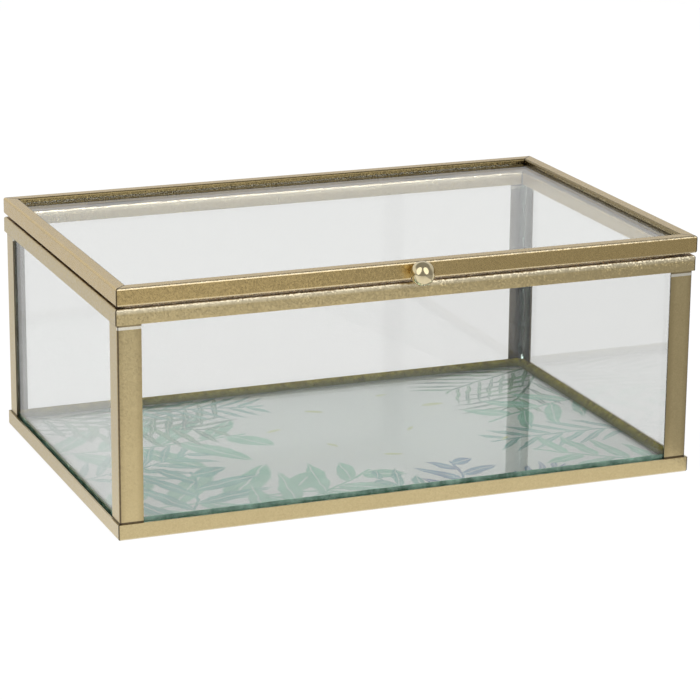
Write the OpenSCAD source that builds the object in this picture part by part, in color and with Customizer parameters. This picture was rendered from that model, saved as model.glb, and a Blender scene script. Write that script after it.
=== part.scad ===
// Glazed jewellery box: a soldered sheet-metal frame round four wall panes and a
// bottom glass over a printed card, with a glazed lid on two small stop hinges.
// X runs along the front, Y from front to back, Z up. The origin is the middle of
// the whole box, knob and hinges included, on the surface that it stands on.

/* [Case] */
// Length of the case along its front
case_w = 150; // [110:1:240]
// Depth of the case from front to back
case_d = 97.2; // [80:0.1:160]
// Height of the glazed case without its lid
case_h = 56.4; // [40:0.1:100]

/* [Sheet metal] */
// Thickness of the sheet that every rail and post is bent from
sheet = 0.45; // [0.4:0.05:0.55]
// Outside radius of every bend
bend_r = 0.6; // [0.56:0.02:0.9]
// Width of the open seam between two mitred rails
mitre_gap = 0.12; // [0.04:0.02:0.2]
// Play between a post and the rails that it is soldered into
solder_play = 0.03; // [0.02:0.01:0.08]

/* [Base rails] */
// Height of the upstand of the base rails
base_rail_h = 3.9; // [3.2:0.1:8]
// Width of the flange under the bottom of the case
base_flange_w = 5; // [4.4:0.1:10]

/* [Corner posts] */
// Width of each leg of the angle-section posts
post_leg = 5.9; // [4:0.1:10]

/* [Top rails] */
// Height of the outer side of the top rails
top_rail_h = 3.9; // [3:0.1:8]
// Height of the inner side of the top rails
top_rail_inner_h = 3.4; // [2.5:0.1:8]
// Width of the top rails across the glass
top_rail_w = 4.3; // [3.8:0.1:6]

/* [Glass] */
// Thickness of the four wall panes
wall_glass_t = 2; // [1.6:0.1:2.4]
// Thickness of the bottom glass
bottom_glass_t = 2; // [1.6:0.1:4]
// Thickness of the lid glass
lid_glass_t = 2; // [1.6:0.1:2.2]
// Play between a pane and what is next to it
pane_play = 0.05; // [0.03:0.01:0.12]
// Play round the edge of the bottom glass and its card
bottom_play = 0.2; // [0.1:0.05:0.5]
// Thickness of the printed card under the bottom glass
card_t = 0.4; // [0.2:0.05:1]

/* [Sealant] */
// Leg of the three-cornered bead round the bottom glass
bottom_bead = 1.7; // [1:0.1:2.5]
// Leg of the upright bead in each corner of the case
corner_bead = 1.2; // [0.8:0.1:2]
// Play between the sealant and the glass it lies on
bead_play = 0.02; // [0.01:0.01:0.05]

/* [Lid] */
// Gap between the case and the closed lid
lid_gap = 0.7; // [0.3:0.05:0.8]
// Height of the lid rails
lid_rail_h = 4.4; // [4.4:0.1:7]
// Width of the flanges of the lid rails
lid_rail_w = 3.4; // [3:0.1:6]
// Gap between the lip of the lid rails and the top of the glass
lip_gap = 0.06; // [0.02:0.02:0.1]
// How far the lid stands proud of the front of the case
lid_overhang = 0.6; // [0:0.1:2]
// Depth of the lid glass below the top of its rails
lid_glass_drop = 1.2; // [0.9:0.1:1.6]
// Distance from the edge of the lid glass to the outside of the rails
lid_glass_inset = 1.2; // [1.1:0.1:1.6]

/* [Knob] */
// Diameter of the ball knob
knob_d = 6; // [4:0.1:9]
// Gap between the ball and the front lid rail
knob_stand = 0.1; // [0.05:0.05:1]
// Diameter of the stem
stem_d = 1.6; // [1:0.1:2.2]
// Play of the stem in its hole, all round
stem_play = 0.04; // [0.02:0.01:0.1]
// Diameter of the riveted end of the stem
rivet_d = 2.6; // [2.4:0.1:3]
// Thickness of the riveted end of the stem
rivet_t = 0.5; // [0.3:0.05:0.6]

/* [Hinges] */
// Distance from the end of the case to the middle of each hinge
hinge_inset = 30; // [16:1:50]
// Length of each hinge
hinge_len = 14; // [10:1:24]
// Length of each of the two knuckles of a case leaf
case_knuckle = 4; // [2.5:0.1:4.4]
// Outside diameter of the knuckles
knuckle_d = 2.6; // [2.2:0.1:3]
// Diameter of the hinge pins
pin_d = 1; // [0.8:0.1:1.3]
// Play of the pin in the knuckles, all round
pin_play = 0.05; // [0.03:0.01:0.08]
// Play between two knuckles, and between a leaf and the other leaf's knuckles
knuckle_play = 0.3; // [0.2:0.05:0.4]
// Height of the flat of each leaf
leaf_h = 2.4; // [1.8:0.1:3]
// Gap between the level of the hinge axis and the strap of each leaf
strap_gap = 0.1; // [0.05:0.05:0.3]
// Diameter of the peened ends of the pins
pin_head_d = 1.8; // [1.5:0.1:2.2]
// Thickness of the peened ends of the pins
pin_head_t = 0.4; // [0.3:0.05:0.8]
// Angle at which the stop lugs end the opening of the lid
open_angle = 105; // [95:1:115]
// Thickness of the stop lugs
lug_t = 0.9; // [0.6:0.1:1.2]
// How far the stop lugs stand out from the knuckles
lug_out = 0.8; // [0.6:0.1:1.2]
// Gap left between a stop lug and the leaf it stops on
stop_play = 0.12; // [0.08:0.01:0.2]

/* [Hidden] */

$fn = 48;
SIDES = ["front", "right", "back", "left"];
CORNERS = ["front_left", "front_right", "back_right", "back_left"];
CORNER_SIGN = [[-1, -1], [1, -1], [1, 1], [-1, 1]];

gilt = "#C6B283";
clear_glass = [0.86, 0.93, 0.91, 0.35];
clear_seal = [0.8, 0.88, 0.84, 0.6];
brass = "#C49A4A";
card_white = "#D9E2DC";

// Distances inwards from the outer face of the case
post_inset = sheet + solder_play;
pane_inset = post_inset + sheet + pane_play;
inner_inset = pane_inset + wall_glass_t;

// Levels of the bottom, from its lower flange up
card_z = sheet + bead_play;
bottom_glass_z = card_z + card_t + bead_play;
floor_z = bottom_glass_z + bottom_glass_t;
pane_top_z = case_h - sheet - pane_play;

// The lid, closed
lid_d = case_d + lid_overhang;
lid_y = -lid_overhang / 2;
lid_z = case_h + lid_gap;
lid_h = lid_z + lid_rail_h;
lid_glass_z = lid_h - lid_glass_drop - lid_glass_t;
bed_z = lid_z + sheet + bead_play;
bed_h = lid_glass_z - bead_play - bed_z;
bed_w = lid_rail_w - lid_glass_inset;

// The hinge axis, out from the back of the case and up from the floor
leaf_back = solder_play;
axis_out = leaf_back + knuckle_d / 2 + knuckle_play - lid_gap / 4;
axis_z = case_h + lid_gap / 2;
flat_z = sqrt(pow(knuckle_d / 2 + knuckle_play, 2) - pow(axis_out - leaf_back - sheet, 2));
lid_knuckle = hinge_len - 2 * (case_knuckle + knuckle_play);
// The stop lug: its reach from the axis, the distance from the axis to its stop, and
// the turn at rest that brings its tip there when the lid is fully open
lug_reach = knuckle_d / 2 + lug_out;
stop_out = axis_out - leaf_back - sheet - stop_play;
lug_turn = open_angle - 90 - asin(stop_out / norm([lug_reach, lug_t / 2])) + atan(lug_t / 2 / lug_reach);

// The foremost point of the knob and the hindmost one of the stop lugs, from the middle
// of the case, and the shift that centres them over the origin
front_y = lid_y - lid_d / 2 - knob_stand - knob_d;
back_y = case_d / 2 + axis_out + lug_reach * cos(lug_turn) + lug_t / 2 * abs(sin(lug_turn));
case_y = -(front_y + back_y) / 2;

// Places a finished piece over the origin of the whole box.
module centred() {
    translate([0, case_y, 0]) children();
}

// Places what is drawn at the outer face of a side, with Y inwards.
module at_side(k, w, d) {
    rotate(90 * k) translate([0, -(k % 2 == 0 ? d : w) / 2, 0]) children();
}

// Places what is drawn at a corner of the case, with X and Y inwards.
module at_corner(k, inset) {
    translate([CORNER_SIGN[k][0] * (case_w / 2 - inset), CORNER_SIGN[k][1] * (case_d / 2 - inset), 0])
        rotate(90 * k) children();
}

// A rectangle with both corners of its left edge rounded.
module rounded_back(w, h, r) {
    translate([r, 0]) square([w - r, h]);
    translate([0, r]) square([r, h - 2 * r]);
    for (y = [r, h - r]) translate([r, y]) circle(r);
}

// Section of a bent angle with its corner at the origin.
module angle_section(w, h) {
    difference() {
        intersection() {
            rounded_back(w, 2 * h, bend_r);
            square([w, h]);
        }
        translate([sheet, sheet]) rounded_back(w, 2 * h, bend_r - sheet);
    }
}

// Section of a bent channel: its back on the Y axis, its arms along X.
module channel_section(back, lower_arm, upper_arm) {
    arm = max(lower_arm, upper_arm);
    difference() {
        rounded_back(arm, back, bend_r);
        translate([sheet, sheet]) rounded_back(arm, back - 2 * sheet, bend_r - sheet);
        translate([lower_arm, -sheet]) square([arm, 2 * sheet + bend_r]);
        translate([upper_arm, back - sheet - bend_r]) square([arm, 2 * sheet + bend_r]);
    }
}

// Section of a channel whose upper arm ends in a lip that is bent down.
module lipped_section(back, arm, lip) {
    channel_section(back, arm, arm - bend_r);
    translate([arm, back]) rotate(180) angle_section(arm - bend_r, lip);
}

// Extrudes a section along a side, with both ends mitred to the middle of a seam.
module mitred(length, reach, seam) {
    half = length / 2 - seam / sqrt(2);
    tall = case_h + lid_rail_h;
    intersection() {
        rotate([90, 0, 90]) linear_extrude(length, center = true) children();
        translate([0, 0, -tall])
            linear_extrude(3 * tall)
                polygon([[-half, 0], [half, 0], [half - reach, reach], [reach - half, reach]]);
    }
}

function side_length(k, w, d) = k % 2 == 0 ? w : d;

// Base rails: angles with the flange under the bottom of the case.
module bottom_rail(k) {
    color(gilt)
        at_side(k, case_w, case_d)
            mitred(side_length(k, case_w, case_d), base_flange_w, mitre_gap)
                angle_section(base_flange_w, base_rail_h);
}

// Corner posts: angles that stand inside the base rails and end in the top rails.
module corner_post(k) {
    color(gilt)
        at_corner(k, post_inset)
            translate([0, 0, bend_r])
                linear_extrude(case_h - 2 * bend_r) angle_section(post_leg, post_leg);
}

// Top rails: channels that open downwards over the posts and the glass.
module top_rail(k) {
    color(gilt)
        at_side(k, case_w, case_d)
            mitred(side_length(k, case_w, case_d), top_rail_w, mitre_gap)
                translate([0, case_h])
                    rotate(-90) channel_section(top_rail_w, top_rail_h, top_rail_inner_h);
}

// Wall panes: the front and back ones run from post to post, the others between them.
module wall_glass(k) {
    across = k % 2 == 0 ? case_w - 2 * pane_inset : case_d - 2 * (inner_inset + pane_play);
    color(clear_glass)
        at_side(k, case_w, case_d)
            translate([-across / 2, pane_inset, sheet + pane_play])
                cube([across, wall_glass_t, pane_top_z - sheet - pane_play]);
}

// A flat sheet that fills the floor inside the wall panes.
module floor_sheet(thickness) {
    w = case_w - 2 * (inner_inset + bottom_play);
    d = case_d - 2 * (inner_inset + bottom_play);
    translate([-w / 2, -d / 2, 0]) cube([w, d, thickness]);
}

module print_card() {
    color(card_white) translate([0, 0, card_z]) floor_sheet(card_t);
}

module bottom_glass() {
    color(clear_glass) translate([0, 0, bottom_glass_z]) floor_sheet(bottom_glass_t);
}

// Beads of clear sealant between the wall panes and the bottom glass.
module bottom_seal(k) {
    inset = inner_inset + bead_play;
    w = case_w - 2 * inset;
    d = case_d - 2 * inset;
    color(clear_seal)
        at_side(k, w, d)
            mitred(side_length(k, w, d), bottom_bead, bead_play)
                translate([0, floor_z + bead_play])
                    polygon([[0, 0], [bottom_bead, 0], [0, bottom_bead]]);
}

// Upright beads of clear sealant where two wall panes meet.
module corner_seal(k) {
    start = floor_z + bottom_bead + 2 * bead_play;
    color(clear_seal)
        at_corner(k, inner_inset + pane_play)
            translate([0, 0, start])
                linear_extrude(case_h - top_rail_inner_h - pane_play - start)
                    polygon([[0, 0], [corner_bead, 0], [0, corner_bead]]);
}

// Lid rails: channels that open inwards round the edge of the lid glass, with a lip
// that is bent down to the glass.
module lid_rail(k) {
    color(gilt)
        translate([0, lid_y, 0])
            difference() {
                at_side(k, case_w, lid_d)
                    mitred(side_length(k, case_w, lid_d), lid_rail_w, mitre_gap)
                        translate([0, lid_z])
                            lipped_section(lid_rail_h, lid_rail_w, lid_glass_drop - lip_gap);
                if (k == 0)
                    translate([0, -lid_d / 2, lid_z + lid_rail_h / 2])
                        rotate([90, 0, 0])
                            cylinder(d = stem_d + 2 * stem_play, h = 4 * sheet, center = true);
            }
}

// Bed of sealant that carries the lid glass in its channels.
module lid_bed() {
    w = case_w - 2 * lid_glass_inset;
    d = lid_d - 2 * lid_glass_inset;
    color(clear_seal)
        translate([0, lid_y, bed_z])
            linear_extrude(bed_h)
                difference() {
                    square([w, d], center = true);
                    square([w - 2 * bed_w, d - 2 * bed_w], center = true);
                }
}

module lid_glass() {
    w = case_w - 2 * lid_glass_inset;
    d = lid_d - 2 * lid_glass_inset;
    color(clear_glass)
        translate([-w / 2, lid_y - d / 2, lid_glass_z]) cube([w, d, lid_glass_t]);
}

// Ball knob: its stem goes through the front lid rail and is riveted inside.
module knob() {
    color(brass)
        translate([0, lid_y - lid_d / 2, lid_z + lid_rail_h / 2])
            rotate([90, 0, 0]) {
                translate([0, 0, knob_stand + knob_d / 2]) sphere(d = knob_d, $fn = 64);
                translate([0, 0, -sheet - solder_play])
                    cylinder(d = stem_d, h = sheet + solder_play + knob_stand + knob_d / 2);
                translate([0, 0, -sheet - solder_play - rivet_t]) cylinder(d = rivet_d, h = rivet_t);
            }
}

// Places what is drawn round the axis of a hinge: X along the axis, Y out from the
// back of the case. Side -1 is the left hinge and side 1 the right one.
module at_hinge(side) {
    translate([side * (case_w / 2 - hinge_inset), case_d / 2, axis_z]) children();
}

// Extrudes a section, drawn with X out from the case and Y up, along the hinge axis.
module along_hinge(from, length) {
    translate([from, 0, 0]) rotate([90, 0, 90]) linear_extrude(length) children();
}

// Knuckle of a leaf, with the strap that joins it to the flat. Up is 1 on the lid.
module knuckle(from, length, up) {
    along_hinge(from, length)
        difference() {
            union() {
                translate([axis_out, 0]) circle(d = knuckle_d);
                translate([leaf_back, up > 0 ? strap_gap : -flat_z - sheet])
                    square([axis_out - leaf_back - knuckle_d / 2 + sheet, flat_z + sheet - strap_gap]);
            }
            translate([axis_out, 0]) circle(d = pin_d + 2 * pin_play);
        }
}

// Flat of a leaf, soldered to the back of a rail.
module leaf_flat(up) {
    along_hinge(-hinge_len / 2, hinge_len)
        translate([leaf_back, up > 0 ? flat_z : -flat_z - leaf_h]) square([sheet, leaf_h]);
}

module hinge_case_leaf(side) {
    color(brass)
        at_hinge(side) {
            leaf_flat(-1);
            knuckle(-hinge_len / 2, case_knuckle, -1);
            knuckle(hinge_len / 2 - case_knuckle, case_knuckle, -1);
        }
}

// The lid leaf also has the stop lug, which swings down on to the case leaf.
module hinge_lid_leaf(side) {
    color(brass)
        at_hinge(side) {
            leaf_flat(1);
            knuckle(-lid_knuckle / 2, lid_knuckle, 1);
            along_hinge(-lid_knuckle / 2, lid_knuckle)
                translate([axis_out, 0])
                    rotate(lug_turn)
                        translate([pin_d / 2 + 2 * pin_play, -lug_t / 2])
                            square([lug_reach - pin_d / 2 - 2 * pin_play, lug_t]);
        }
}

module hinge_pin(side) {
    color(brass)
        at_hinge(side)
            translate([0, axis_out, 0])
                rotate([0, 90, 0]) {
                    cylinder(d = pin_d, h = hinge_len + 2 * pin_play, center = true);
                    for (end = [-1, 1])
                        translate([0, 0, end * (hinge_len / 2 + pin_play + pin_head_t / 2)])
                            cylinder(d = pin_head_d, h = pin_head_t, center = true);
                }
}

for (k = [0 : 3]) {
    centred() bottom_rail(k);
    centred() corner_post(k);
    centred() wall_glass(k);
    centred() bottom_seal(k);
    centred() corner_seal(k);
    centred() top_rail(k);
    centred() lid_rail(k);
}
centred() print_card();
centred() bottom_glass();
centred() lid_bed();
centred() lid_glass();
centred() knob();
centred() hinge_case_leaf(-1);  // hinge_left_case_leaf
centred() hinge_case_leaf(1);  // hinge_right_case_leaf
centred() hinge_pin(-1);  // hinge_left_pin
centred() hinge_pin(1);  // hinge_right_pin
centred() hinge_lid_leaf(-1);  // hinge_left_lid_leaf
centred() hinge_lid_leaf(1);  // hinge_right_lid_leaf
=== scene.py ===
import math

import bmesh
import bpy
from mathutils import Matrix, Vector, noise


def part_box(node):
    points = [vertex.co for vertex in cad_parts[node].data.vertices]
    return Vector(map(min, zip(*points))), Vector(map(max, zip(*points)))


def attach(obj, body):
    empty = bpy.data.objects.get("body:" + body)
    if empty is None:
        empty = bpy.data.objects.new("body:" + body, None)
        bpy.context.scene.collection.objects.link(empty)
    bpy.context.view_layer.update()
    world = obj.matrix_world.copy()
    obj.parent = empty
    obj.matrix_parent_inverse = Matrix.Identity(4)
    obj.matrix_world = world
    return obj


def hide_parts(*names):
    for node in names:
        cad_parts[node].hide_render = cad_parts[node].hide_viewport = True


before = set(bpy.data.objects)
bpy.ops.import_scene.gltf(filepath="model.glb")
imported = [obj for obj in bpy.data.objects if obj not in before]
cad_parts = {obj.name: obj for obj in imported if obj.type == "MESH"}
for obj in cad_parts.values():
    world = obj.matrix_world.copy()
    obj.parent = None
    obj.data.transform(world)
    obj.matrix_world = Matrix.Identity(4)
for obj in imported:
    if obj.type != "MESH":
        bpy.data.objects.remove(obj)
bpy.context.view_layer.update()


# ---- Viewpoint ----------------------------------------------------------------
# A long lens in front of the box, to the left of it and a little above its lid.

lens_data = bpy.data.cameras.new("viewpoint")
lens_data.sensor_width = 36
lens_data.lens = 151.73
viewpoint = bpy.data.objects.new("viewpoint", lens_data)
viewpoint.location = (-0.26629, -0.67333, 0.2367)
viewpoint.rotation_euler = [math.radians(angle) for angle in (73.8195, -0.4526, -21.5776)]
bpy.context.scene.collection.objects.link(viewpoint)
bpy.context.scene.camera = viewpoint
bpy.context.scene.view_settings.view_transform = "Standard"


# ---- Table and lights ---------------------------------------------------------
# A round white table before a white backdrop, under a dark ceiling. Two tall soft
# boxes stand in front, on both sides of the viewpoint, a third one hangs overhead,
# and a grey card on the right half of the table's front shows in the metal alone.

WHITE = (1, 1, 1, 1)
TABLE_RADIUS = 0.6
TABLE_CENTRE = (0, 0.15, -0.00002)
TABLE_WHITE = (0.93, 0.93, 0.93, 1)
TABLE_GLOW = 0.94
TABLE_SEEN = 1.02
# Glow of the table in metal: behind the box, just before it, and further off.
MIRRORED_BEHIND, MIRRORED_BEFORE, MIRRORED_FAR = 0.78, 1.0, 0.68

CARD_SIZE = 0.6
CARD_TURN = -12
CARD_PLACE = (0.31, -0.405, 0.0004)
CARD_GREY = (0.3, 0.3, 0.3, 1)

BACKDROP = 0.95
BACKDROP_FOOT = 0.67
BACKDROP_WAY = (0.1, 0.99, 0)
FOOT_SLANT = (-0.389, 0, 1)
CEILING = 0.3

# Name, place, width and height (m) and power (W) of each soft box.
SOFT_BOXES = [("soft_box_left", (-0.75, -0.36, 0.62), 0.85, 1.35, 3.6),
              ("soft_box_right", (0.24, -0.86, 0.72), 0.85, 1.35, 4.0),
              ("soft_box_over", (0.0, 0.0, 0.95), 0.6, 0.6, 7.5)]
MIDDLE_OF_BOX = Vector((0, 0, 0.03))


def add_node(tree, kind, inputs=(), **settings):
    """Adds a shader node: inputs holds its sockets' values or the outputs linked to them."""
    node = tree.nodes.new(kind)
    for name, value in settings.items():
        setattr(node, name, value)
    for socket, value in dict(inputs).items():
        if isinstance(value, bpy.types.NodeSocket):
            tree.links.new(value, node.inputs[socket])
        else:
            node.inputs[socket].default_value = value
    return node


def sum_of(tree, operation, a, b=0.0, c=0.0, clamp=False):
    """A sum worked out by a Math node."""
    return add_node(tree, "ShaderNodeMath", {0: a, 1: b, 2: c}, operation=operation,
                    use_clamp=clamp).outputs[0]


def vector_of(tree, operation, a, b=(0, 0, 0)):
    """A sum worked out by a Vector Math node: a number for a dot product or a length."""
    second = "Scale" if operation == "SCALE" else 1
    node = add_node(tree, "ShaderNodeVectorMath", {0: a, second: b}, operation=operation)
    return node.outputs["Value" if operation in ("DOT_PRODUCT", "LENGTH") else "Vector"]


def ramp(tree, value, start, end, low=0.0, high=1.0, shape="LINEAR"):
    """A ramp: low where the value is at its start, high where it is at its end."""
    return add_node(tree, "ShaderNodeMapRange",
                    {"Value": value, "From Min": start, "From Max": end, "To Min": low,
                     "To Max": high}, interpolation_type=shape).outputs["Result"]


def blend(tree, factor, a, b, kind="RGBA"):
    """A mix of two colours, or of two numbers where the kind is FLOAT."""
    return add_node(tree, "ShaderNodeMix", {"Factor": factor, "A": a, "B": b},
                    data_type=kind).outputs["Result"]


def new_material(name):
    """An empty node material, its node tree and its output node."""
    material = bpy.data.materials.new(name)
    material.use_nodes = True
    tree = material.node_tree
    tree.nodes.clear()
    return material, tree, add_node(tree, "ShaderNodeOutputMaterial")


def finished(name, shape, material, smooth=False):
    """Turns a bmesh into an object with one material, at the origin."""
    mesh = bpy.data.meshes.new(name)
    shape.to_mesh(mesh)
    shape.free()
    mesh.materials.append(material)
    for face in mesh.polygons:
        face.use_smooth = smooth
    made = bpy.data.objects.new(name, mesh)
    bpy.context.scene.collection.objects.link(made)
    return made


table_paint, tree, output = new_material("table_white")
rays = add_node(tree, "ShaderNodeLightPath").outputs
seen = sum_of(tree, "MAXIMUM", rays["Is Camera Ray"], rays["Is Transmission Ray"])
spot = add_node(tree, "ShaderNodeNewGeometry").outputs["Position"]
depth = add_node(tree, "ShaderNodeSeparateXYZ", {0: spot}).outputs["Y"]
before = ramp(tree, depth, 0.02, -0.05, MIRRORED_BEHIND, MIRRORED_BEFORE)
further = ramp(tree, depth, -0.07, -0.24, MIRRORED_BEFORE, MIRRORED_FAR)
level = blend(tree, seen, sum_of(tree, "MINIMUM", before, further), TABLE_SEEN, "FLOAT")
shows = sum_of(tree, "MAXIMUM", seen, rays["Is Glossy Ray"])
share = sum_of(tree, "MULTIPLY", shows, TABLE_GLOW)
matt = add_node(tree, "ShaderNodeBsdfDiffuse", {"Color": TABLE_WHITE})
glow = add_node(tree, "ShaderNodeEmission", {"Color": WHITE, "Strength": level})
surface = add_node(tree, "ShaderNodeMixShader", {0: share, 1: matt.outputs[0], 2: glow.outputs[0]})
tree.links.new(surface.outputs[0], output.inputs["Surface"])
table = bmesh.new()
bmesh.ops.create_circle(table, cap_ends=True, radius=TABLE_RADIUS, segments=128)
bmesh.ops.translate(table, verts=table.verts, vec=TABLE_CENTRE)
finished("table", table, table_paint)

card_grey, tree, output = new_material("card_grey")
matt = add_node(tree, "ShaderNodeBsdfDiffuse", {"Color": CARD_GREY})
tree.links.new(matt.outputs[0], output.inputs["Surface"])
grey_card = bmesh.new()
bmesh.ops.create_grid(grey_card, x_segments=1, y_segments=1, size=CARD_SIZE / 2)
bmesh.ops.rotate(grey_card, verts=grey_card.verts,
                 matrix=Matrix.Rotation(math.radians(CARD_TURN), 3, "Z"))
bmesh.ops.translate(grey_card, verts=grey_card.verts, vec=CARD_PLACE)
grey_card = finished("grey_card", grey_card, card_grey)
grey_card.visible_camera = False
grey_card.visible_transmission = False
grey_card.visible_diffuse = False
grey_card.visible_shadow = False

studio = bpy.data.worlds.new("studio")
studio.use_nodes = True
bpy.context.scene.world = studio
tree = studio.node_tree
tree.nodes.clear()
way = add_node(tree, "ShaderNodeTexCoord").outputs["Generated"]
behind = ramp(tree, vector_of(tree, "DOT_PRODUCT", way, BACKDROP_WAY), -0.3, 0.25,
              shape="SMOOTHSTEP")
height = add_node(tree, "ShaderNodeSeparateXYZ", {0: way}).outputs["Z"]
low = ramp(tree, height, 0.7, 0.45, shape="SMOOTHSTEP")
backdrop = sum_of(tree, "MULTIPLY", behind, low)
slant = vector_of(tree, "DOT_PRODUCT", way, FOOT_SLANT)
foot = ramp(tree, slant, 0.1805, 0.1845, BACKDROP_FOOT, BACKDROP)
dim = blend(tree, backdrop, CEILING, foot, "FLOAT")
rays = add_node(tree, "ShaderNodeLightPath").outputs
seen = sum_of(tree, "MAXIMUM", rays["Is Camera Ray"], rays["Is Transmission Ray"])
level = blend(tree, seen, dim, 1.0, "FLOAT")
sky = add_node(tree, "ShaderNodeBackground", {"Color": WHITE, "Strength": level})
add_node(tree, "ShaderNodeOutputWorld", {"Surface": sky.outputs[0]})

for name, place, width, height, watts in SOFT_BOXES:
    box_light = bpy.data.lights.new(name, "AREA")
    box_light.shape = "ELLIPSE"
    box_light.size = width
    box_light.size_y = height
    box_light.energy = watts
    soft_box = bpy.data.objects.new(name, box_light)
    soft_box.location = place
    soft_box.visible_glossy = name != "soft_box_over"
    aim = MIDDLE_OF_BOX - Vector(place)
    soft_box.rotation_euler = aim.to_track_quat("-Z", "Y").to_euler()
    bpy.context.scene.collection.objects.link(soft_box)


# ---- Base rails ---------------------------------------------------------------
# Four strips of steel sheet folded into angles, mitred, soldered at the corners and
# sprayed with a gilt lacquer full of fine metal flakes. The lacquer is dark in the mitred
# seams. A painted highlight runs along the front folds, and painted shade covers the faces
# that look inwards.

GILT = ((0.52, 0.41, 0.205, 1), (0.64, 0.52, 0.275, 1))
FOLD_HIGHLIGHT = (0.98, 0.92, 0.76, 1)
GILT_SHADE = (0.20, 0.17, 0.085, 1)
EDGE_PAINTED_SHADE = (0.36, 0.27, 0.125, 1)
SEAM_AND_SHADOW_DARK = (0.06, 0.04, 0.02, 1)
GAP_PAINTED_SHADE = (0.31, 0.19, 0.06, 1)
POST_TOP_HIGHLIGHT = (1.0, 0.96, 0.84, 1)

# Where masks start and where they are full (m): the strip of painted shade from the outer
# edge of a rail, the dark seam from its mitre, and the band of painted highlight under the
# fold at its top.
STRIP_EDGE = (-0.0040, -0.0030)
SEAM_EDGE = (0.0003, 0.00012)
HIGHLIGHT_BAND_EDGE = (-0.0015, -0.0005)
TOP_HIGHLIGHT_HALF = 0.00035                # half the height of the painted highlight line at a post's top (m)
SHADOW_LINE_HALF = 0.00025                 # half the height of a painted shadow line (m)
SHADOW_OVER_HIGHLIGHT = 0.0006           # from the painted highlight line up to the painted shadow line over it (m)
EDGE_SHADE_FROM, EDGE_SHADE_TO = 0.22, 0.48  # painted shade towards a post's edges, from its middle, in its widths
SIDES = ("front", "right", "back", "left")


def clouds(tree, place, scale, detail, roughness=0.5):
    """The output of a noise texture."""
    return add_node(tree, "ShaderNodeTexNoise", {"Vector": place, "Scale": scale, "Detail": detail,
                                                 "Roughness": roughness}).outputs["Fac"]


def new_group(name, given, made):
    """An empty node group, and the outputs of its input node. Given and made hold the names of
    its numbers, and those of its vectors after them."""
    tree = bpy.data.node_groups.new(name, "ShaderNodeTree")
    for way, (numbers, vectors) in (("INPUT", given), ("OUTPUT", made)):
        for names, kind in ((numbers, "NodeSocketFloat"), (vectors, "NodeSocketVector")):
            for socket in names:
                tree.interface.new_socket(socket, in_out=way, socket_type=kind)
    return tree, add_node(tree, "NodeGroupInput").outputs


def flake_group():
    """Fine metal flakes in a lacquer: each flake's tone, slow patches and the flakes' normals."""
    tree, given = new_group("metal_flakes", (("Flakes per metre", "Tilt"), ("Vector", "Normal")),
                            (("Tone", "Patches"), ("Normal",)))
    flakes = add_node(tree, "ShaderNodeTexVoronoi", {"Vector": given["Vector"],
                                                    "Scale": given["Flakes per metre"]})
    tone = add_node(tree, "ShaderNodeSeparateColor", {0: flakes.outputs["Color"]}).outputs[0]
    lean = vector_of(tree, "SUBTRACT", flakes.outputs["Color"], (0.5, 0.5, 0.5))
    lean = vector_of(tree, "SCALE", lean, given["Tilt"])
    lean = vector_of(tree, "NORMALIZE", vector_of(tree, "ADD", lean, given["Normal"]))
    patches = clouds(tree, given["Vector"], 160.0, 3.0)
    add_node(tree, "NodeGroupOutput", {"Tone": tone, "Patches": patches, "Normal": lean})
    return tree


def fold_group():
    """Masks of the folds of the sheet, broken up by small gaps, and of the faces that look to
    the inside."""
    tree, given = new_group("fold_wear", (("Broken",), ("Vector", "Normal")),
                            (("Fold", "Inside"), ()))
    size = vector_of(tree, "ABSOLUTE", given["Normal"])
    along, across, up = add_node(tree, "ShaderNodeSeparateXYZ", {0: size}).outputs
    most = sum_of(tree, "MAXIMUM", sum_of(tree, "MAXIMUM", along, across), up)
    fold = ramp(tree, most, 0.995, 0.9)
    gaps = ramp(tree, clouds(tree, given["Vector"], 900.0, 4.0, 0.7), 0.35, 0.6)
    fold = sum_of(tree, "MULTIPLY", fold, blend(tree, given["Broken"], 1.0, gaps, "FLOAT"))
    level = vector_of(tree, "MULTIPLY", given["Vector"], (1, 1, 0))
    outwards = vector_of(tree, "DOT_PRODUCT", level, given["Normal"])
    inside = ramp(tree, outwards, -0.008, -0.02)
    fold = sum_of(tree, "MULTIPLY", fold, sum_of(tree, "SUBTRACT", 1.0, inside))
    add_node(tree, "NodeGroupOutput", {"Fold": fold, "Inside": inside})
    return tree


def seam_group():
    """Masks of a frame of rails: its dark mitre seams, and the outer strip of its faces that look
    the given way."""
    tree, given = new_group("mitre_seams", ((), ("Vector", "Normal", "Corner", "Facing")),
                            (("Seam", "Strip"), ()))
    off = vector_of(tree, "ABSOLUTE", given["Vector"])
    off = vector_of(tree, "SUBTRACT", off, given["Corner"])
    along, across, _ = add_node(tree, "ShaderNodeSeparateXYZ", {0: off}).outputs
    edge = ramp(tree, sum_of(tree, "MAXIMUM", along, across), *STRIP_EDGE)
    facing = vector_of(tree, "DOT_PRODUCT", given["Normal"], given["Facing"])
    strip = sum_of(tree, "MULTIPLY", edge, ramp(tree, facing, 0.9, 0.98))
    off = sum_of(tree, "ABSOLUTE", vector_of(tree, "DOT_PRODUCT", off, (1, -1, 0)))
    add_node(tree, "NodeGroupOutput", {"Seam": ramp(tree, off, *SEAM_EDGE), "Strip": strip})
    return tree


FLAKES = flake_group()
FOLDS = fold_group()
SEAMS = seam_group()


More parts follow.
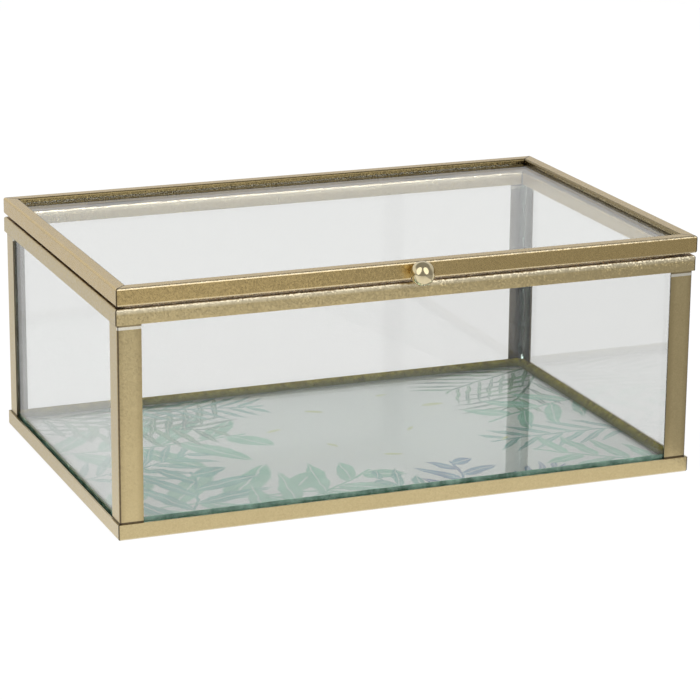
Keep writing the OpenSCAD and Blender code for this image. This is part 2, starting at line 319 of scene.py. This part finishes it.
def gilt_lacquer(name, rails, colours, flakes_per_metre=3300.0, contrast=0.6, tilt=0.22,
                 roughness=0.36, coat=0.6, fold_light=0.6, fold=FOLD_HIGHLIGHT, broken=0.5, shaded=0.7,
                 shade=GILT_SHADE, covered=(0, 0, 0), top_highlight_at=-1.0, foot=-1.0, bulge=0.0,
                 under_fold_highlight=0.0, edge_shade=0.0):
    """The gilt finish of folded sheet: painted light along its front folds in the given colour (a
    painted highlight on the rails, painted shade on the posts), painted shade on its faces that
    look inwards, dark mitre seams on the rails, painted shade on the outer strip of the faces that
    look the covered way, and at the heights given, a painted highlight line and painted shadow
    lines. The rails' upright faces can bulge a little and carry a painted highlight under the
    fold, and the posts' front faces can get painted shade towards their edges."""
    front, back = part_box(rails + "front"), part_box(rails + "back")
    rail_foot, rail_top = front[0].z, front[1].z
    middle = (front[0].y + back[1].y) / 2
    material, tree, output = new_material(name)
    spot = add_node(tree, "ShaderNodeTexCoord").outputs
    place = add_node(tree, "ShaderNodeMapping", {"Vector": spot["Object"],
                                                 "Location": (0, -middle, 0)}).outputs[0]
    aside, _, height = add_node(tree, "ShaderNodeSeparateXYZ", {0: place}).outputs
    ahead = ramp(tree, vector_of(tree, "DOT_PRODUCT", spot["Normal"], (0, -1, 0)), 0.1, 0.35)

    lean = ramp(tree, height, rail_foot, rail_top, -bulge, bulge)
    lean = add_node(tree, "ShaderNodeCombineXYZ", {"Z": lean}).outputs[0]
    shape = add_node(tree, "ShaderNodeNewGeometry").outputs["Normal"]
    flakes = add_node(tree, "ShaderNodeGroup", node_tree=FLAKES)
    folds = add_node(tree, "ShaderNodeGroup", node_tree=FOLDS)
    seams = add_node(tree, "ShaderNodeGroup", node_tree=SEAMS)
    for group in (flakes, folds, seams):
        tree.links.new(place, group.inputs["Vector"])
    tree.links.new(vector_of(tree, "ADD", shape, lean), flakes.inputs["Normal"])
    flakes.inputs["Flakes per metre"].default_value = flakes_per_metre
    flakes.inputs["Tilt"].default_value = tilt
    tree.links.new(spot["Normal"], folds.inputs["Normal"])
    folds.inputs["Broken"].default_value = broken
    tree.links.new(spot["Normal"], seams.inputs["Normal"])
    seams.inputs["Corner"].default_value = (front[1].x, back[1].y - middle, 0)
    seams.inputs["Facing"].default_value = covered

    under = ramp(tree, height, *[rail_top + edge for edge in HIGHLIGHT_BAND_EDGE], high=under_fold_highlight)
    painted_fold_light = sum_of(tree, "MAXIMUM", folds.outputs["Fold"], under)
    painted_fold_light = sum_of(tree, "MULTIPLY", painted_fold_light, ahead)
    top_highlight = sum_of(tree, "COMPARE", height, top_highlight_at, TOP_HIGHLIGHT_HALF)
    top_highlight = sum_of(tree, "MULTIPLY", top_highlight, ahead)
    rail_shadow = sum_of(tree, "COMPARE", height, top_highlight_at + SHADOW_OVER_HIGHLIGHT, SHADOW_LINE_HALF)
    foot_shadow = sum_of(tree, "COMPARE", height, foot, SHADOW_LINE_HALF)
    near, far = (abs(limit.x) for limit in reversed(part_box("corner_post_front_left")))
    aside = sum_of(tree, "SUBTRACT", sum_of(tree, "ABSOLUTE", aside), (near + far) / 2)
    edges = ramp(tree, sum_of(tree, "ABSOLUTE", aside), (far - near) * EDGE_SHADE_FROM,
                 (far - near) * EDGE_SHADE_TO, high=edge_shade)
    edges = sum_of(tree, "MULTIPLY", edges, ahead)

    tone = blend(tree, contrast, flakes.outputs["Patches"], flakes.outputs["Tone"], "FLOAT")
    colour = blend(tree, tone, *colours)
    # Painted light laid over the flakes: painted shade at the posts' edges, painted light on the
    # front folds, painted shade inside, a painted highlight line, painted shadow lines, painted
    # shade on the covered strip, and the dark mitre seams.
    for mask, strength, other in ((edges, 1.0, EDGE_PAINTED_SHADE),
                                  (painted_fold_light, fold_light, fold),
                                  (folds.outputs["Inside"], shaded, shade),
                                  (top_highlight, 0.9, POST_TOP_HIGHLIGHT),
                                  (foot_shadow, 0.9, SEAM_AND_SHADOW_DARK),
                                  (rail_shadow, 0.4, SEAM_AND_SHADOW_DARK),
                                  (seams.outputs["Strip"], 0.9, GAP_PAINTED_SHADE),
                                  (seams.outputs["Seam"], 0.85, SEAM_AND_SHADOW_DARK)):
        colour = blend(tree, sum_of(tree, "MULTIPLY", mask, strength), colour, other)
    rough = ramp(tree, flakes.outputs["Tone"], 0.0, 1.0, roughness - 0.06, roughness + 0.06)
    lacquer = ramp(tree, seams.outputs["Strip"], 0.0, 1.0, coat, 0.0)
    paint = add_node(tree, "ShaderNodeBsdfPrincipled",
                     {"Base Color": colour, "Metallic": 1.0, "Roughness": rough,
                      "Normal": flakes.outputs["Normal"], "Coat Weight": lacquer,
                      "Coat Roughness": 0.25})
    tree.links.new(paint.outputs[0], output.inputs["Surface"])
    return material


def dress(nodes, material):
    """Gives CAD nodes their finish."""
    for name in nodes:
        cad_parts[name].data.materials.clear()
        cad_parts[name].data.materials.append(material)


dress(["bottom_rail_" + side for side in SIDES],
      gilt_lacquer("base_rail_gilt", "bottom_rail_", GILT, fold_light=0.3))


# ---- Corner posts -------------------------------------------------------------
# Angles of the same gilt sheet, soldered inside the base rails and the top rails.
# Painted shade darkens their front folds, their front faces towards the edges, and the
# sides that the panes are glued to. A painted highlight line runs along their top under
# the top rail, with a painted shadow line over it, and another painted shadow line at
# their foot.

POST_FOLD_SHADE = (0.20, 0.14, 0.065, 1)
POST_SHADE = (0.105, 0.09, 0.065, 1)
HIGHLIGHT_UNDER_RAIL = 0.0009
SHADOW_OVER_RAIL = 0.0002
CORNERS = ("front_left", "front_right", "back_right", "back_left")

dress(["corner_post_" + corner for corner in CORNERS],
      gilt_lacquer("post_gilt", "bottom_rail_", GILT, flakes_per_metre=3800.0, tilt=0.2, fold_light=0.9,
                   fold=POST_FOLD_SHADE, shaded=0.85, shade=POST_SHADE, edge_shade=0.6,
                   top_highlight_at=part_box("top_rail_front")[0].z - HIGHLIGHT_UNDER_RAIL,
                   foot=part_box("bottom_rail_front")[1].z + SHADOW_OVER_RAIL))


# ---- Wall panes ---------------------------------------------------------------
# 2 mm float glass, clear face on and dark green along its cut edges, with a few
# wiped streaks.

GLASS_GREEN = (0.55, 0.86, 0.72, 1)
GLASS_DENSITY = 22.0
CUT_EDGE = (0.20, 0.42, 0.34, 1)
PANE_CLEAR = (0.877, 0.866, 0.866, 1)
STREAKS_PER_METRE = (40, 40, 400)


def float_glass(name, clear, facing):
    """Clear glass, green in its depth and at its edges, with faint streaks. Facing is the way
    that its two large faces look."""
    material, tree, output = new_material(name)
    spot = add_node(tree, "ShaderNodeTexCoord").outputs
    square = sum_of(tree, "ABSOLUTE", vector_of(tree, "DOT_PRODUCT", spot["Normal"], facing))
    wiped = add_node(tree, "ShaderNodeMapping", {"Vector": spot["Object"],
                                                 "Scale": STREAKS_PER_METRE}).outputs[0]
    rough = ramp(tree, clouds(tree, wiped, 1.0, 2.0), 0.5, 0.8, 0.0, 0.02)
    glass = add_node(tree, "ShaderNodeBsdfPrincipled",
                     {"Base Color": blend(tree, square, CUT_EDGE, clear), "Roughness": rough,
                      "IOR": 1.52, "Transmission Weight": 1.0})
    depth = add_node(tree, "ShaderNodeVolumeAbsorption", {"Color": GLASS_GREEN,
                                                          "Density": GLASS_DENSITY})
    tree.links.new(glass.outputs[0], output.inputs["Surface"])
    tree.links.new(depth.outputs[0], output.inputs["Volume"])
    return material


dress(["glass_front", "glass_back"], float_glass("long_pane_glass", PANE_CLEAR, (0, 1, 0)))
dress(["glass_left", "glass_right"], float_glass("short_pane_glass", PANE_CLEAR, (1, 0, 0)))


# ---- Printed card -------------------------------------------------------------
# A matt white card under the bottom glass, printed round its edges with leafy
# sprigs in the style of a water colour and with a few flecks in the middle.

CARD_WHITE = (0.76, 0.81, 0.775, 1)
MINT = ((0.34, 0.70, 0.52, 1), (0.10, 0.44, 0.28, 1))
TEAL = ((0.20, 0.58, 0.47, 1), (0.03, 0.30, 0.25, 1))
BLUE = ((0.18, 0.45, 0.56, 1), (0.03, 0.14, 0.32, 1))
GREEN = ((0.27, 0.55, 0.30, 1), (0.02, 0.17, 0.10, 1))
FLECK = (0.60, 0.66, 0.24, 1)
WOBBLE = (0.0022, 0.0022, 0)
STEM_HALF = 0.0005

# Each sprig: root (mm), turn of its stem (degrees), length, leaf, pitch (mm), plumpness, bend
# (mm), lean of its leaves, strength of its ink and its two inks. Each fleck: place, turn, length.
SPRIGS = [
    ((-72, -34), 6, 62, 26, 15.0, 1.1, -8, 0.8, 0.95, MINT),
    ((-72, 14), -8, 50, 24, 13.0, 1.0, 8, 0.7, 0.9, MINT),
    ((-68, 46), -40, 48, 18, 5.6, 0.8, 6, 0.9, 0.9, GREEN),
    ((-72, -8), 14, 34, 14, 6.0, 0.9, 4, 0.9, 0.85, TEAL),
    ((-58, -46), 58, 38, 20, 10.0, 1.0, 8, 0.8, 0.95, TEAL),
    ((-38, -46), 24, 42, 19, 11.0, 1.05, 6, 0.7, 0.95, MINT),
    ((-20, 46), -150, 46, 16, 5.4, 0.75, -7, 1.0, 0.95, GREEN),
    ((-50, 46), -18, 42, 12, 5.0, 0.8, 3, 1.0, 0.9, TEAL),
    ((14, -46), 66, 22, 12, 8.0, 1.0, 4, 0.7, 1.0, BLUE),
    ((6, -46), 132, 18, 10, 7.0, 0.95, -4, 0.7, 0.95, TEAL),
    ((28, -46), 20, 20, 8, 5.0, 0.9, 3, 0.9, 0.95, BLUE),
    ((72, 44), -162, 34, 15, 4.6, 0.7, 4, 1.1, 1.0, GREEN),
    ((73, 40), -120, 38, 15, 5.2, 0.75, -6, 1.0, 1.0, GREEN),
    ((74, 14), -168, 34, 15, 10.0, 1.0, 5, 0.7, 0.95, MINT),
    ((74, -14), 172, 38, 12, 6.0, 0.8, 5, 1.0, 0.9, TEAL),
    ((73, -44), 152, 36, 14, 8.0, 1.0, -5, 0.8, 0.95, MINT),
]
FLECKS = [((-14, 14), 20, 5), ((2, 26), -35, 6), ((20, 4), 60, 4), ((34, 22), 5, 7),
          ((8, -14), -20, 5), ((40, -12), 40, 4), ((-4, -2), -60, 4), ((24, 34), 15, 4)]


def sprig_group():
    """One sprig: pairs of leaves up a bent stem. Gives its mask, a tone that runs along the
    leaves, and its veins."""
    tree, given = new_group(
        "sprig", (("Turn", "Length", "Leaf", "Pitch", "Plump", "Bend", "Lean"), ("Vector", "Root")),
        (("Mask", "Tone", "Vein"), ()))

    def worked(operation, a, b=0.0, clamp=False):
        return sum_of(tree, operation, a, b, clamp=clamp)

    moved = vector_of(tree, "SUBTRACT", given["Vector"], given["Root"])
    back = worked("MULTIPLY", given["Turn"], -math.pi / 180)
    turned = add_node(tree, "ShaderNodeVectorRotate", {"Vector": moved, "Angle": back},
                      rotation_type="Z_AXIS")
    along, across, _ = add_node(tree, "ShaderNodeSeparateXYZ", {0: turned.outputs[0]}).outputs
    share = worked("DIVIDE", along, given["Length"])
    bent = worked("MULTIPLY", worked("MULTIPLY", share, share), given["Bend"])
    across = worked("SUBTRACT", across, bent)
    out = worked("ABSOLUTE", across)

    stagger = worked("MULTIPLY", worked("GREATER_THAN", across, 0.0), 0.5)
    foot = worked("SUBTRACT", along, worked("MULTIPLY", out, given["Lean"]))
    foot = worked("ADD", worked("DIVIDE", foot, given["Pitch"]), stagger)
    index = worked("FLOOR", foot)
    beside = worked("ABSOLUTE", worked("SUBTRACT", worked("SUBTRACT", foot, index), 0.5))
    reach = worked("MULTIPLY", worked("ADD", index, 0.5), given["Pitch"])
    reach = worked("DIVIDE", reach, given["Length"])

    taper = worked("MULTIPLY", worked("SUBTRACT", 1.02, reach, clamp=True),
                   worked("ADD", reach, 0.25))
    leaf = worked("POWER", worked("MULTIPLY", taper, 2.5), 0.5)
    leaf = worked("MULTIPLY", given["Leaf"], leaf)
    tip = worked("DIVIDE", out, worked("MAXIMUM", leaf, 0.00001))
    body = worked("MULTIPLY", worked("POWER", worked("MINIMUM", tip, 1.0), 0.6),
                  worked("SUBTRACT", 1.0, tip, clamp=True))
    edge = worked("SUBTRACT", worked("MULTIPLY", body, given["Plump"]), beside)
    inside = worked("MULTIPLY", worked("GREATER_THAN", reach, 0.0),
                    worked("LESS_THAN", reach, 1.0))
    blade = worked("MULTIPLY", worked("MULTIPLY", edge, 14.0, clamp=True), inside)

    stem = worked("MULTIPLY", worked("SUBTRACT", STEM_HALF, out), 4000.0, clamp=True)
    on_stem = worked("MULTIPLY", worked("GREATER_THAN", along, 0.0),
                     worked("LESS_THAN", share, 1.0))
    stem = worked("MULTIPLY", stem, on_stem)
    vein = worked("SUBTRACT", 1.0, worked("MULTIPLY", beside, 30.0), clamp=True)
    vein = worked("MULTIPLY", vein, blade)
    rim = worked("SUBTRACT", 1.0, worked("MULTIPLY", edge, 7.0), clamp=True)
    tone = worked("ADD", worked("MULTIPLY", tip, 0.6), worked("MULTIPLY", rim, 0.5), clamp=True)
    add_node(tree, "NodeGroupOutput", {"Mask": worked("MAXIMUM", blade, stem), "Tone": tone,
                                       "Vein": vein})
    return tree


def card_print():
    """The face of the card: soft white with the sprigs laid over one another, and the flecks."""
    material, tree, output = new_material("card_print")
    place = add_node(tree, "ShaderNodeTexCoord").outputs["Object"]
    wobble = add_node(tree, "ShaderNodeTexNoise", {"Vector": place, "Scale": 220.0, "Detail": 3.0})
    wobble = vector_of(tree, "SUBTRACT", wobble.outputs["Color"], (0.5, 0.5, 0.5))
    drawn = add_node(tree, "ShaderNodeVectorMath", {0: wobble, 1: WOBBLE, 2: place},
                     operation="MULTIPLY_ADD").outputs[0]
    wash = ramp(tree, clouds(tree, place, 130.0, 4.0, 0.6), 0.3, 0.7)
    group = sprig_group()
    colour = CARD_WHITE
    for root, turn, length, leaf, pitch, plump, bend, lean, strength, (pale, deep) in SPRIGS:
        sprig = add_node(tree, "ShaderNodeGroup", node_tree=group)
        tree.links.new(drawn, sprig.inputs["Vector"])
        for socket, value in {"Root": (root[0] / 1000, root[1] / 1000, 0), "Turn": turn,
                              "Length": length / 1000, "Leaf": leaf / 1000,
                              "Pitch": pitch / 1000, "Plump": plump, "Bend": bend / 1000,
                              "Lean": lean}.items():
            sprig.inputs[socket].default_value = value
        ink = sum_of(tree, "MULTIPLY_ADD", sprig.outputs["Tone"], 0.6, wash)
        ink = blend(tree, ink, pale, deep)
        ink = blend(tree, sprig.outputs["Vein"], ink, CARD_WHITE)
        laid = sum_of(tree, "MULTIPLY", sprig.outputs["Mask"], strength)
        colour = blend(tree, laid, colour, ink)
    for (x, y), turn, length in FLECKS:
        fleck = add_node(tree, "ShaderNodeMapping",
                         {"Vector": drawn, "Location": (x / 1000, y / 1000, 0),
                          "Rotation": (0, 0, math.radians(turn)),
                          "Scale": (length / 2000, length / 6000, 1)}, vector_type="TEXTURE")
        fleck = vector_of(tree, "MULTIPLY", fleck.outputs[0], (1, 1, 0))
        fleck = ramp(tree, vector_of(tree, "LENGTH", fleck), 1.0, 0.8, high=0.85)
        colour = blend(tree, fleck, colour, FLECK)
    card = add_node(tree, "ShaderNodeBsdfPrincipled", {"Base Color": colour, "Roughness": 0.6})
    tree.links.new(card.outputs[0], output.inputs["Surface"])
    return material


dress(["print_card"], card_print())


# ---- Bottom glass and its sealant ---------------------------------------------
# The bottom glass lies on the card, and a bead of clear silicone along each wall
# pane holds it down. The beads are painted with what the clear silicone shows there: the
# print's greens on the face against the pane, and the olive gilt of the rails in shade,
# darker and greener towards the foot, on the free face.

BOTTOM_CLEAR = (0.975, 0.98, 0.975, 1)
REFRACTED_PRINT_GREENS = ((0.09, 0.26, 0.17, 1), (0.44, 0.76, 0.60, 1))
SHADED_GILT_VIEW = ((0.10, 0.082, 0.003, 1), (0.27, 0.23, 0.03, 1))
VIEW_FOOT_DARK = (0.03, 0.05, 0.012, 1)
OUTWARD = {"front": (0, -1, 0), "right": (1, 0, 0), "back": (0, 1, 0), "left": (-1, 0, 0)}
LONG_EDGE = 0.02
LUMPS_PER_METRE = 450

dress(["bottom_glass"], float_glass("bottom_glass", BOTTOM_CLEAR, (0, 0, 1)))


def glued_edge():
    """The bead's face on the pane: a painted view of the print's greens in patches from outside,
    nothing from inside.
    """
    material, tree, output = new_material("glued_edge")
    place = add_node(tree, "ShaderNodeTexCoord").outputs["Object"]
    patches = ramp(tree, clouds(tree, place, 260.0, 4.0, 0.65), 0.35, 0.65)
    sight = add_node(tree, "ShaderNodeNewGeometry").outputs["Backfacing"]
    edge = add_node(tree, "ShaderNodeBsdfPrincipled",
                    {"Base Color": blend(tree, patches, *REFRACTED_PRINT_GREENS), "Roughness": 0.25,
                     "Alpha": sum_of(tree, "SUBTRACT", 1.0, sight)})
    tree.links.new(edge.outputs[0], output.inputs["Surface"])
    return material


def gilt_stain():
    """The bead's free face: a painted view of the rails' gilt in shade, olive, darker and greener
    towards its foot.
    """
    bottom, top = (limit.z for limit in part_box("bottom_seal_front"))
    material, tree, output = new_material("gilt_stain")
    place = add_node(tree, "ShaderNodeTexCoord").outputs["Object"]
    patches = ramp(tree, clouds(tree, place, 700.0, 4.0, 0.6), 0.35, 0.65)
    height = add_node(tree, "ShaderNodeSeparateXYZ", {0: place}).outputs["Z"]
    low = ramp(tree, height, top, bottom, high=0.8, shape="SMOOTHSTEP")
    colour = blend(tree, low, blend(tree, patches, *SHADED_GILT_VIEW), VIEW_FOOT_DARK)
    stain = add_node(tree, "ShaderNodeBsdfPrincipled", {"Base Color": colour, "Roughness": 0.4,
                                                        "Specular IOR Level": 0.1})
    tree.links.new(stain.outputs[0], output.inputs["Surface"])
    return material


def bead(node, cuts, uneven):
    """A copy of a bead's solid, cut up along its length, with its free face made uneven."""
    shape = bmesh.new()
    shape.from_mesh(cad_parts[node].data)
    bmesh.ops.remove_doubles(shape, verts=shape.verts, dist=0.000001)
    bmesh.ops.dissolve_limit(shape, angle_limit=0.01, verts=shape.verts, edges=shape.edges)
    long_edges = [edge for edge in shape.edges if edge.calc_length() > LONG_EDGE]
    bmesh.ops.subdivide_edges(shape, edges=long_edges, cuts=cuts, use_grid_fill=True)
    for vert in shape.verts:
        free = [face for face in vert.link_faces if sorted(map(abs, face.normal))[1] > 0.5]
        if len(free) > 1:
            vert.co += free[0].normal * noise.noise(vert.co * LUMPS_PER_METRE) * uneven
    return shape


gilt_view_paint = gilt_stain()
print_view = glued_edge()
for side in SIDES:
    node = "bottom_seal_" + side
    shape = bead(node, cuts=50, uneven=0.0001)
    for face in shape.faces:
        face.material_index = int(face.normal.dot(OUTWARD[side]) > 0.9)
    made = finished("bead_" + side, shape, gilt_view_paint)
    made.data.materials.append(print_view)
    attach(made, "case")
    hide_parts(node)


# ---- Corner sealant -----------------------------------------------------------
# An upright bead of clear silicone in each corner, laid by hand and lumpy.

CORNER_TINT = (0.62, 0.80, 0.72, 1)


def silicone(name, ior, tint):
    """Silicone, a little cloudy and pitted."""
    material, tree, output = new_material(name)
    place = add_node(tree, "ShaderNodeTexCoord").outputs["Object"]
    pits = clouds(tree, place, 500.0, 3.0)
    relief = add_node(tree, "ShaderNodeBump", {"Height": pits, "Strength": 0.15,
                                               "Distance": 0.0002})
    rubber = add_node(tree, "ShaderNodeBsdfPrincipled",
                      {"Base Color": tint, "Roughness": ramp(tree, pits, 0.0, 1.0, 0.02, 0.16),
                       "IOR": ior, "Transmission Weight": 1.0, "Normal": relief.outputs["Normal"]})
    tree.links.new(rubber.outputs[0], output.inputs["Surface"])
    return material


clear_silicone = silicone("clear_silicone", 1.41, CORNER_TINT)
for corner in CORNERS:
    node = "corner_seal_" + corner
    made = finished("bead_" + corner, bead(node, cuts=40, uneven=0.0009), clear_silicone)
    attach(made, "case")
    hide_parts(node)


# ---- Top rails ----------------------------------------------------------------
# Channels of gilt sheet that cap the posts and the upper edges of the wall panes.
# Their lacquer is the coarsest of the box, with a painted highlight along and under the
# upper fold, and painted brown shade on top, where the closed lid covers it.

TOP_FOLD_HIGHLIGHT = (1.0, 0.91, 0.69, 1)

dress(["top_rail_" + side for side in SIDES],
      gilt_lacquer("top_rail_gilt", "top_rail_", GILT, contrast=0.9, tilt=0.45, roughness=0.4,
                   fold_light=0.95, fold=TOP_FOLD_HIGHLIGHT, broken=0.15, shaded=0.0, covered=(0, 0, 1),
                   bulge=0.16, under_fold_highlight=0.75))


# ---- Hinges -------------------------------------------------------------------
# Two small brass hinges, soldered to the back, with a peened pin in each.

HINGE_BRASS = ((0.50, 0.36, 0.15, 1), (0.78, 0.62, 0.34, 1))


def plain_brass(name, dull, tones):
    """Brass that is polished or dulled, with stains between a dark and a light tone."""
    material, tree, output = new_material(name)
    place = add_node(tree, "ShaderNodeTexCoord").outputs["Object"]
    stain = clouds(tree, place, 400.0, 4.0)
    metal = add_node(tree, "ShaderNodeBsdfPrincipled",
                     {"Base Color": blend(tree, stain, *tones), "Metallic": 1.0,
                      "Roughness": ramp(tree, stain, 0.0, 1.0, dull * 0.7, dull * 1.3)})
    tree.links.new(metal.outputs[0], output.inputs["Surface"])
    return material


dress(["hinge_%s_%s" % (side, piece) for side in ("left", "right")
       for piece in ("case_leaf", "pin", "lid_leaf")],
      plain_brass("hinge_brass", 0.3, HINGE_BRASS))


# ---- Lid rails ----------------------------------------------------------------
# Channels of gilt sheet, open inwards, that hold the lid glass. The hole for the
# stem of the knob is in the middle of the front one.

LID_GILT = ((0.53, 0.39, 0.165, 1), (0.65, 0.485, 0.22, 1))
LID_SHADE = (0.17, 0.13, 0.055, 1)

# The lid's faces that look inwards and the outer strip of its faces that look down get painted
# shade, and its front folds a painted highlight.
dress(["lid_rail_" + side for side in SIDES],
      gilt_lacquer("lid_gilt", "lid_rail_", LID_GILT, contrast=0.5, tilt=0.14, roughness=0.27,
                   coat=0.25, fold_light=0.5, shaded=0.85, shade=LID_SHADE, covered=(0, 0, -1)))


# ---- Lid glass and its bed ----------------------------------------------------
# The lid glass lies in a bed of silicone inside the channels.

LID_CLEAR = (0.968, 0.954, 0.952, 1)
BED_TINT = (0.45, 0.41, 0.24, 1)

dress(["lid_glass"], float_glass("lid_glass", LID_CLEAR, (0, 0, 1)))
dress(["lid_bed"], silicone("bed_silicone", 1.45, BED_TINT))


# ---- Knob ---------------------------------------------------------------------
# A polished brass ball on a stem that goes through the front rail of the lid.

KNOB_BRASS = ((0.58, 0.47, 0.27, 1), (0.84, 0.75, 0.51, 1))
STEM_RADIUS = 0.0008

low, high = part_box("knob")
ball_radius = (high.z - low.z) / 2
ball_centre = Vector(((low.x + high.x) / 2, low.y + ball_radius, (low.z + high.z) / 2))
stem_centre = (ball_centre.x, (high.y + ball_centre.y) / 2, ball_centre.z)
lying = Matrix.Rotation(math.radians(90), 4, "X")
ball = bmesh.new()
bmesh.ops.create_uvsphere(ball, u_segments=64, v_segments=40, radius=ball_radius)
bmesh.ops.rotate(ball, verts=ball.verts, matrix=lying.to_3x3())
bmesh.ops.translate(ball, verts=ball.verts, vec=ball_centre)
bmesh.ops.create_cone(ball, cap_ends=True, segments=32, radius1=STEM_RADIUS, radius2=STEM_RADIUS,
                      depth=high.y - ball_centre.y, matrix=Matrix.Translation(stem_centre) @ lying)
knob = finished("brass_knob", ball, plain_brass("knob_brass", 0.12, KNOB_BRASS), smooth=True)
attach(knob, "lid")
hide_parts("knob")
